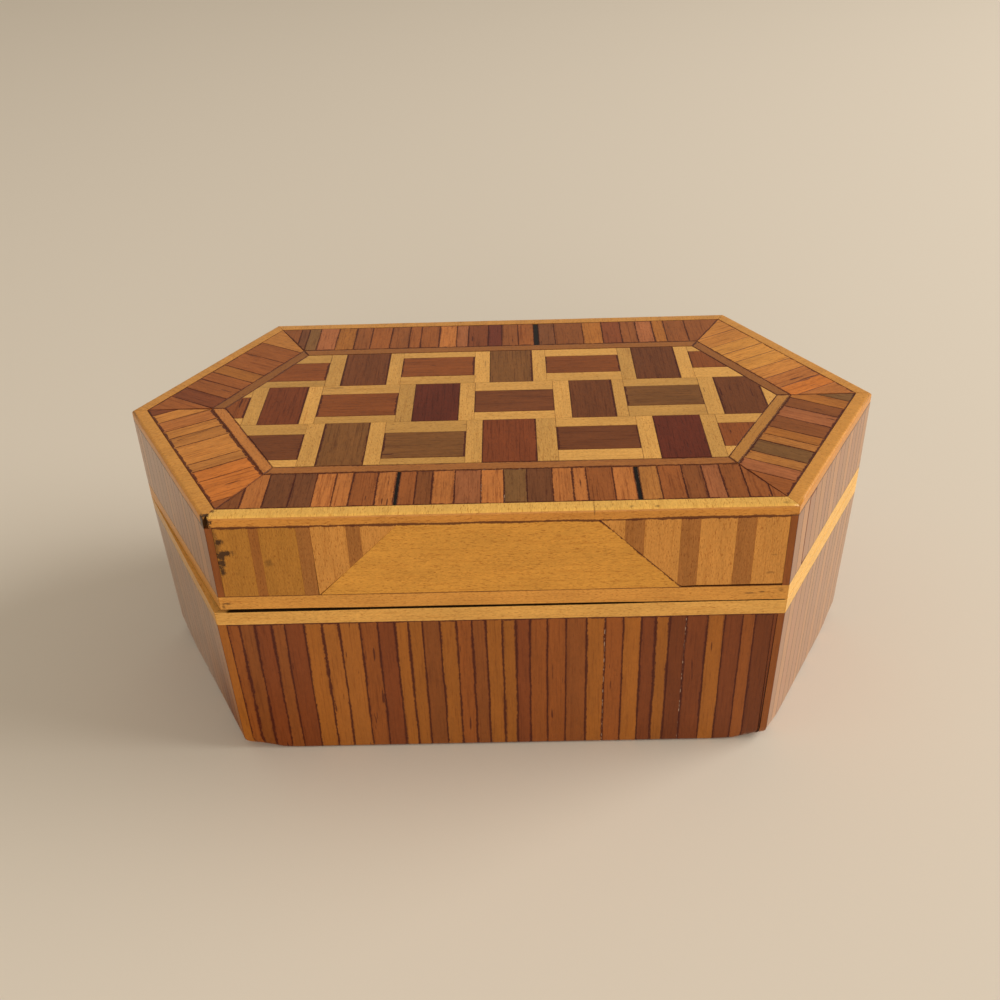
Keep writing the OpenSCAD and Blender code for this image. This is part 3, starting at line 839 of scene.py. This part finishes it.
def open_seam(made):
    """Parts the two rims more at the front left than at the front right and round the other sides"""
    sizes = chosen_sizes()
    near, even = 0.2 * MM, SEAM_LID - SEAM_BASE
    for vert in made.verts:
        front = held((-vert.co.y - 0.88 * HALF_DEPTH) / (0.1 * HALF_DEPTH))
        shut = held(0.5 + vert.co.x / HALF_LENGTH / 1.4) * front + 1 - front
        want = sizes.seam_open_left + (sizes.seam_open_right - sizes.seam_open_left) * shut
        move = (want - even) / 2 + 0.9 * waver(vert.co) * front
        if abs(vert.co.z - SEAM_BASE) < near:
            vert.co.z -= move
        elif abs(vert.co.z - SEAM_LID) < near:
            vert.co.z += move


def stretch_corner(made):
    """Lets the front left corner of the base stand out a little, as the maker left it"""
    reach = chosen_sizes().base_corner
    for vert in made.verts:
        back = held((vert.co.y + HALF_DEPTH) / HALF_DEPTH)
        edge = -(HALF_LENGTH - abs(vert.co.y) / math.tan(SLANT))
        inward = max(0.0, 1 - max(0.0, vert.co.x - edge) / (3.2 * MM))
        worn = min(1.0, 0.2 + max(0.0, vert.co.z) / (2.4 * MM))
        if vert.co.y < 0:
            vert.co.x -= reach * (1 - back) * inward * worn


def no_glue(made):
    """For pieces that no glue line borders"""
    rim = made.verts.layers.float.new("rim")
    for vert in made.verts:
        vert[rim] = 1.0


def push(solid, way, amount, beyond):
    """Moves the points of a solid that lie further than a distance along a direction"""
    for vert in verts_of(solid):
        if vert.co.dot(way) > beyond:
            vert.co += way * amount


def sink(solid, depth):
    """Lowers the top of a strip or block a little"""
    push(solid, UP, -depth, TOP - 0.1 * MM)


def cut_across(made, direction, pitch):
    """New edges across every strip at a steady pitch, so that joints can wander"""
    low, high = reach_of(made.verts, direction)
    for step in range(1, int((high - low) / pitch) + 1):
        cut(made, direction * (low + (step - 0.5) * pitch), direction)


def cut_along(made):
    """New edges across the whole box at a steady pitch, so that long pieces can wander"""
    for step in range(1, int(2 * HALF_LENGTH / LENGTH_PITCH)):
        cut(made, RIGHT * (-HALF_LENGTH + step * LENGTH_PITCH), RIGHT)


# One operator for each group of pieces


class TrinketBoxOperator:
    bl_options = {"REGISTER", "UNDO"}


class BOX_OT_carcass(TrinketBoxOperator, bpy.types.Operator):
    """Walls, floor and lid board, in plain wood"""

    bl_idname = "trinket_box.carcass"
    bl_label = "Carcass"

    def execute(self, context):
        for body in BODIES:
            for side, word in enumerate(SIDES):
                node = f"{body}_{word}_wall"
                made = blank(node)
                if body == "base":
                    round_foot(made, side)
                    stretch_corner(made)
                self.board(made, node, body, facing(side)[1])
        self.board(blank("base_floor"), "base_floor", "base", RIGHT)
        self.board(blank("lid_board"), "lid_board", "lid", RIGHT)
        return {"FINISHED"}

    def board(self, made, node, body, along):
        marker = Marker(made, node)
        for solid in solids(made):
            marker.mark(solid, "m", along)
            for face in solid:
                light = 1 + 0.06 * math.sin(7 * face[marker.seed])
                face[marker.tone] = (*(c * light for c in chosen_woods().carcass), 1)
        piece(made, body, node, "wood", "plain")


class BOX_OT_side_strips(TrinketBoxOperator, bpy.types.Operator):
    """Upright strips on the six sides of the base and five sides of the lid"""

    bl_idname = "trinket_box.side_strips"
    bl_label = "Side strips"

    # The varnish of the sides has gone browner than that of the top
    TINT = (1.0, 0.9, 0.58)

    def execute(self, context):
        for side, word in enumerate(SIDES):
            self.run(f"base_{word}_facing", "base", side, BASE_RUNS[side])
            if side != FRONT:
                self.run(f"lid_{word}_facing", "lid", side, LID_RUNS[side])
        return {"FINISHED"}

    def run(self, node, body, side, letters):
        sizes = chosen_sizes()
        out, along = facing(side)
        made = blank(node)
        blunt(made)
        if side % 3 == 0:
            self.meet_corners(made, along, 2.1 * sizes.closing)
        close_up(made, (along,), sizes.closing)
        draw_rims(made, faces_out(side), sizes.glue_reach)
        cut_across(made, UP, SIDE_PITCH)
        wander(made, along, UP, sizes.joint_waver)
        wander_joints(made)
        if body == "base":
            round_foot(made, side)
            stretch_corner(made)
        marker = Marker(made, node, self.TINT)
        strips = in_order(made, along)
        for solid, letter in lettered(strips, letters, node):
            marker.mark(solid, letter, UP, sizes.facing_glue, 0.1, (out,))
        if side == FRONT:
            for strip, way in ((0, -along), (-1, along), (-1, -along), (-2, along)):
                marker.joint(strips[strip], way, 0)
        piece(made, body, node, "strips", "strips")

    @staticmethod
    def meet_corners(made, along, amount):
        """Draws the first and the last strip out to the veneers of the sides next to them"""
        strips = in_order(made, along)
        for solid, way in ((strips[0], -along), (strips[-1], along)):
            push(solid, way, amount, reach_of(verts_of(solid), way)[0] + END_DEPTH)


class BOX_OT_lid_front(TrinketBoxOperator, bpy.types.Operator):
    """The plain tapering panel and the striped panels beside it"""

    bl_idname = "trinket_box.lid_front"
    bl_label = "Lid front"

    def execute(self, context):
        self.panel("lid_front_panel", RIGHT, "l")
        self.panel("lid_front_left_stripes", UP, "ycynhnh")
        self.panel("lid_front_right_stripes", UP, "hnhnhnh")
        return {"FINISHED"}

    def panel(self, node, grain, letters):
        sizes = chosen_sizes()
        made = blank(node)
        blunt(made)
        close_up(made, (RIGHT, UP), 1.3 * sizes.closing)
        draw_rims(made, faces_out(FRONT), sizes.glue_reach)
        wander_joints(made)
        if node == "lid_front_right_stripes":
            self.lift(made)
        marker = Marker(made, node)
        for solid, letter in lettered(in_order(made, RIGHT), letters, node):
            marker.mark(solid, letter, grain, sizes.panel_glue, 0.03, (-REAR,))
            if node == "lid_front_left_stripes":
                at_corner = middle_of(solid).x < -32 * MM
                marker.joint(solid, -RIGHT, 0.07 * MM if at_corner else 0)
            if node == "lid_front_panel":
                ends = (face for face in solid if face.normal.x > 0.3)
                marker.joint(solid, max(ends, key=lambda face: face.calc_area()).normal, 0.1 * MM)
        piece(made, "lid", node, "wood", "light")

    @staticmethod
    def lift(made):
        """The right panel has come away from the rim below it by a hair"""
        for vert in made.verts:
            if vert.co.z < RIM_LID + 0.4 * MM:
                vert.co.z += chosen_sizes().panel_gap * held((vert.co.x - 19.5 * MM) / (3 * MM))


class BOX_OT_rims(TrinketBoxOperator, bpy.types.Operator):
    """The light rim strips on both sides of the seam"""

    bl_idname = "trinket_box.rims"
    bl_label = "Rims"

    def execute(self, context):
        sizes = chosen_sizes()
        for body in BODIES:
            node = f"{body}_rim_strips"
            made = blank(node)
            soften(made, self.outer)
            no_glue(made)
            # Painted shade: an edge where the seam's darkening ends
            cut(made, REAR * (sizes.seam_shade_reach - HALF_DEPTH), REAR)
            for place in (-FRONT_CORNER, FRONT_CORNER):
                cut(made, RIGHT * place, RIGHT)
            cut_along(made)
            wander_joints(made)
            open_seam(made)
            if body == "base":
                stretch_corner(made)
            marker = Marker(made, node)
            for solid in solids(made):
                side = side_of(middle_of(solid))
                # Painted highlight: the front right rims, on the lit side, are drawn in the lighter copy
                # of the maple
                letter = "b" if side == FRONT_RIGHT else "f" if body == "base" else "m"
                marker.mark(solid, letter, facing(side)[1], 0, 0.05)
                self.shade_seam(marker, solid)
            piece(made, body, node, "wood", "light")
        return {"FINISHED"}

    @staticmethod
    def outer(face):
        """A face that looks out from its side and lies near it"""
        middle = face.calc_center_median()
        side = side_of(middle)
        out = facing(side)[0]
        return face.normal.dot(out) > SQUARE_ON and side_far(side) - middle.dot(out) < MM

    @staticmethod
    def shade_seam(marker, solid):
        """Painted shade along the front edges that meet at the seam: the rims' faces there are darkened
        so that the gap looks as dark as its shadow
        """
        for face in solid:
            if abs(face.normal.z) > 0.9 and RIM_BASE + MM < face.calc_center_median().z < RIM_LID - MM:
                for loop in face.loops:
                    x, y, _ = loop.vert.co
                    at_front = y < 0.2 * MM - HALF_DEPTH and abs(x) < FRONT_CORNER + 0.1 * MM
                    loop[marker.grime] = float(at_front)


class BOX_OT_edging(TrinketBoxOperator, bpy.types.Operator):
    """The light edging round the top, with its rounded outer arris"""

    bl_idname = "trinket_box.edging"
    bl_label = "Edging"

    def execute(self, context):
        made = blank("lid_edging")
        for further in (0.4 * MM, 0, -0.4 * MM):
            cut(made, -RIGHT * (FRONT_CORNER + further), RIGHT)
        cut_along(made)
        wander_joints(made)
        for vert in made.verts:
            side = side_of(vert.co)
            out = facing(side)[0]
            if side_far(side) - vert.co.dot(out) < 0.9 * MM and vert.co.z > EDGING + 0.2 * MM:
                dip = abs(waver(vert.co))
                vert.co -= out * dip + UP * dip / 2
        marker = Marker(made, "edging")
        no_glue(made)
        for solid in solids(made):
            side = side_of(middle_of(solid))
            out, along = facing(side)
            if side == FRONT:
                self.chip(solid)
            # Painted light: the edging's sides are drawn in a darker copy of its maple, and its top at
            # the front in a lighter copy
            marker.mark(solid, "q", along, 0, 0.04, (), ("b" if side == FRONT else "m", out))
        piece(made, "lid", "lid_edging", "wood", "light", smooth=40)
        return {"FINISHED"}

    @staticmethod
    def chip(solid):
        """The worn left tip of the front length"""
        for vert in verts_of(solid):
            near = held((0.3 * MM - FRONT_CORNER - vert.co.x) / (1.1 * MM))
            outer = held(1 - (vert.co.y + HALF_DEPTH) / (1.2 * MM))
            vert.co.x += 0.55 * MM * near * near * outer


class BOX_OT_bands(TrinketBoxOperator, bpy.types.Operator):
    """Six mitred bands of cross strips on the top, and the light line inside them"""

    bl_idname = "trinket_box.bands"
    bl_label = "Bands"

    # Widths in millimetres of the joints along the edging and along the light line
    OUTER_JOINTS = (0.11, 0.26, 0.12, 0.1, 0.14, 0.3)
    INNER_JOINTS = (0.1, 0.2, 0.06, 0.12, 0.05, 0.3)
    # How much of the full glue shows between the strips of each band
    GLUE_SHARES = (1.0, 0.8, 0.4, 0.9, 0.7, 0.55)
    # How much lighter and yellower each band is drawn: partly the top's varnish bleaching it, partly
    # painted sheen, which makes the back band lightest and the front band darkest
    BLEACH_AND_SHEEN = (1.17, 1.25, 1.22, 1.33, 1.28, 1.22)
    # The light line's wood and bleaching on the sides where it isn't chestnut
    LINE = {
        FRONT: ("e", (1, 1, 1)),
        FRONT_RIGHT: ("m", (0.8, 0.78, 0.8)),
        FRONT_LEFT: ("t", (1.2, 1.12, 1)),
    }

    def execute(self, context):
        sizes = chosen_sizes()
        for side, word in enumerate(SIDES):
            node = f"{word}_band"
            out, along = facing(side)
            made = blank(node)
            chance = random.Random(node)
            blunt(made)
            self.narrow(made, along, BAND_RUNS[side], sizes.sliver)
            close_up(made, (along,), sizes.closing)
            draw_rims(made, faces_up, 0.55 * MM)
            cut_across(made, out, BAND_PITCH)
            wander(made, along, out, sizes.joint_waver)
            # This band's bleaching, together with its painted sheen
            bleach_and_sheen = self.BLEACH_AND_SHEEN[side]
            marker = Marker(made, node, (bleach_and_sheen, 0.98 * bleach_and_sheen, 0.87 * bleach_and_sheen))
            for solid, letter in lettered(in_order(made, along), BAND_RUNS[side], node):
                marker.mark(solid, letter, out, sizes.band_glue * self.GLUE_SHARES[side], 0.09, (UP,))
                marker.joint(solid, out, self.OUTER_JOINTS[side] * MM)
                marker.joint(solid, -out, self.INNER_JOINTS[side] * MM)
                sink(solid, 0.07 * MM if letter in "kK" else chance.uniform(0, 0.02) * MM)
            piece(made, "lid", node, "strips", "inlay")
        self.line(sizes)
        return {"FINISHED"}

    @staticmethod
    def narrow(made, along, letters, amount):
        """Makes the slivers of filler narrower and the strips beside them wider"""
        strips = in_order(made, along)
        for index, letter in enumerate(letters):
            if letter == "K":
                middle = middle_of(strips[index])
                for beside, way in ((strips[index - 1], along), (strips[index + 1], -along)):
                    push(strips[index], way, -amount, middle.dot(way))
                    push(beside, way, amount, reach_of(verts_of(beside), way)[1] - END_DEPTH)

    def line(self, sizes):
        made = blank("light_line")
        draw_rims(made, faces_up, sizes.glue_reach)
        marker = Marker(made, "light_line")
        for solid in solids(made):
            side = side_of(middle_of(solid))
            letter, marker.tint = self.LINE.get(side, ("c", (1, 1, 1)))
            marker.mark(solid, letter, facing(side)[1], sizes.band_glue, 0.1, (UP,))
        piece(made, "lid", "light_line", "wood", "light")


class BOX_OT_weave(TrinketBoxOperator, bpy.types.Operator):
    """The basket weave: dark blocks between light bars"""

    bl_idname = "trinket_box.weave"
    bl_label = "Weave"

    # Widths in millimetres of the joints at the left and right of a dark block
    SIDE_JOINTS = (0.06, 0.12, 0.22)

    def execute(self, context):
        self.lay("weave_dark_blocks", "dark_wood", "inlay")
        self.lay("weave_light_bars", "light_wood", "light")
        return {"FINISHED"}

    def lay(self, node, slot, finish):
        sizes = chosen_sizes()
        made = blank(node)
        chance = random.Random(node)
        low, high = (corner.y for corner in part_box("weave_dark_blocks"))
        pitch = (high - low) / len(WEAVE_ROWS)
        rows = [[] for _ in WEAVE_ROWS]
        for solid in in_order(made, RIGHT):
            rows[min(len(rows) - 1, int((middle_of(solid).y - low) / pitch))].append(solid)
        woods = {}
        for run, letters in zip(rows, WEAVE_ROWS):
            if slot == "light_wood":
                letters = "f" * len(run)
            for solid, letter in lettered(run, letters, node):
                woods[tuple(middle_of(solid))] = (letter, self.long_way(solid))
        blunt(made)
        close_up(made, (RIGHT, REAR), sizes.closing)
        draw_rims(made, faces_up, sizes.glue_reach)
        marker = Marker(made, node, (1.2, 1.03, 0.8) if slot == "dark_wood" else (1, 1, 1))
        for solid in solids(made):
            middle = middle_of(solid)
            nearest = min(woods, key=lambda place: (Vector(place) - middle).length)
            letter, long_way = woods[nearest]
            glue, vary = (0.3 * sizes.weave_glue, 0.2) if letter == "f" else (sizes.weave_glue, 0.12)
            marker.mark(solid, letter, long_way, glue, vary, (UP,))
            if slot == "dark_wood":
                for way in (RIGHT, -RIGHT):
                    marker.joint(solid, way, chance.choice(self.SIDE_JOINTS) * MM)
            sink(solid, chance.uniform(0, 0.02) * MM)
        piece(made, "lid", node, "wood", finish)

    @staticmethod
    def long_way(solid):
        """The direction of a solid's longest straight edge in plan"""
        ways = [e.verts[1].co - e.verts[0].co for face in solid for e in face.edges]
        level = [way for way in ways if abs(way.z) < 1e-6]
        square = [way for way in level if min(abs(way.x), abs(way.y)) < 1e-5]
        way = max(square or level, key=lambda way: round(way.length, 5)).normalized()
        return way if way.x + way.y > 0 else -way


class BOX_OT_hinges(TrinketBoxOperator, bpy.types.Operator):
    """Brass hinge leaves, pins and screws"""

    bl_idname = "trinket_box.hinges"
    bl_label = "Hinges"

    def execute(self, context):
        for body, words in (("base", ("base_leaf", "pin")), ("lid", ("lid_leaf",))):
            nodes = [f"{hand}_hinge_{word}" for word in words for hand in HANDS]
            for node in (*nodes, f"{body}_hinge_screws"):
                made = blank(node)
                sharp = [
                    edge for edge in made.edges
                    if edge.calc_face_angle(0) > math.radians(35) and edge.calc_length() > 3 * MM]
                bevelled(made, sharp, 0.03 * MM, segments=2)
                piece(made, body, node, "brass", "brass", smooth=30)
        return {"FINISHED"}


class BOX_OT_stage(TrinketBoxOperator, bpy.types.Operator):
    """Floor, soft lamps and the camera"""

    bl_idname = "trinket_box.stage"
    bl_label = "Stage"

    def execute(self, context):
        context.scene.view_settings.view_transform = "Standard"
        stage = context.scene.trinket_box_stage
        self.floor(stage)
        self.surround(stage)
        self.lamp("key", (1.0, 0.1, 0.55), 0.9, stage.key_power)
        self.lamp("fill", (0, -1.0, 0.32), 0.7, stage.fill_power)
        self.camera(stage)
        return {"FINISHED"}

    def floor(self, stage):
        made = bmesh.new()
        bmesh.ops.create_grid(made, x_segments=2, y_segments=2, size=3.0)
        mesh = bpy.data.meshes.new("floor")
        made.to_mesh(mesh)
        made.free()
        paint = Finish(
            "pale floor", Base_Color=opaque(stage.floor), Roughness=0.9, Specular_IOR_Level=0.2)
        mesh.materials.append(paint.material)
        placed("floor", mesh)

    def surround(self, stage):
        world = bpy.data.worlds.new("surround")
        bpy.context.scene.world = world
        world.use_nodes = True
        background = world.node_tree.nodes["Background"]
        background.inputs["Color"].default_value = opaque(stage.sky)
        background.inputs["Strength"].default_value = stage.sky_strength

    def lamp(self, name, place, size, power):
        data = bpy.data.lights.new(name, "AREA")
        data.shape = "DISK"
        data.size = size
        data.energy = power
        lamp = placed(name, data)
        lamp.location = place
        lamp.rotation_euler = (-Vector(place)).to_track_quat("-Z", "Y").to_euler()

    def camera(self, stage):
        data = bpy.data.cameras.new("camera")
        data.lens = stage.camera_lens
        data.sensor_width = 36
        data.clip_start = 0.01
        camera = placed("camera", data)
        camera.location = stage.camera_at
        camera.rotation_euler = stage.camera_turn
        bpy.context.scene.camera = camera


OPERATORS = (
    BOX_OT_carcass, BOX_OT_side_strips, BOX_OT_lid_front, BOX_OT_rims, BOX_OT_edging,
    BOX_OT_bands, BOX_OT_weave, BOX_OT_hinges, BOX_OT_stage,
)


class BOX_PT_trinket_box(bpy.types.Panel):
    bl_label = "Trinket box"
    bl_idname = "BOX_PT_trinket_box"
    bl_space_type = "VIEW_3D"
    bl_region_type = "UI"
    bl_category = "Trinket box"

    def draw(self, context):
        for operator in OPERATORS:
            self.layout.operator(operator.bl_idname)


GROUPS = {
    "trinket_box_woods": TrinketBoxWoods,
    "trinket_box_sizes": TrinketBoxSizes,
    "trinket_box_stage": TrinketBoxStage,
}
CLASSES = (*GROUPS.values(), *OPERATORS, BOX_PT_trinket_box)


def register():
    for cls in CLASSES:
        bpy.utils.register_class(cls)
    for name, group in GROUPS.items():
        setattr(bpy.types.Scene, name, PointerProperty(type=group))


def unregister():
    for name in GROUPS:
        delattr(bpy.types.Scene, name)
    for cls in reversed(CLASSES):
        bpy.utils.unregister_class(cls)


def main():
    register()
    for operator in OPERATORS:
        group, word = operator.bl_idname.split(".")
        getattr(getattr(bpy.ops, group), word)()
    bpy.context.view_layer.update()


if __name__ == "__main__":
    main()
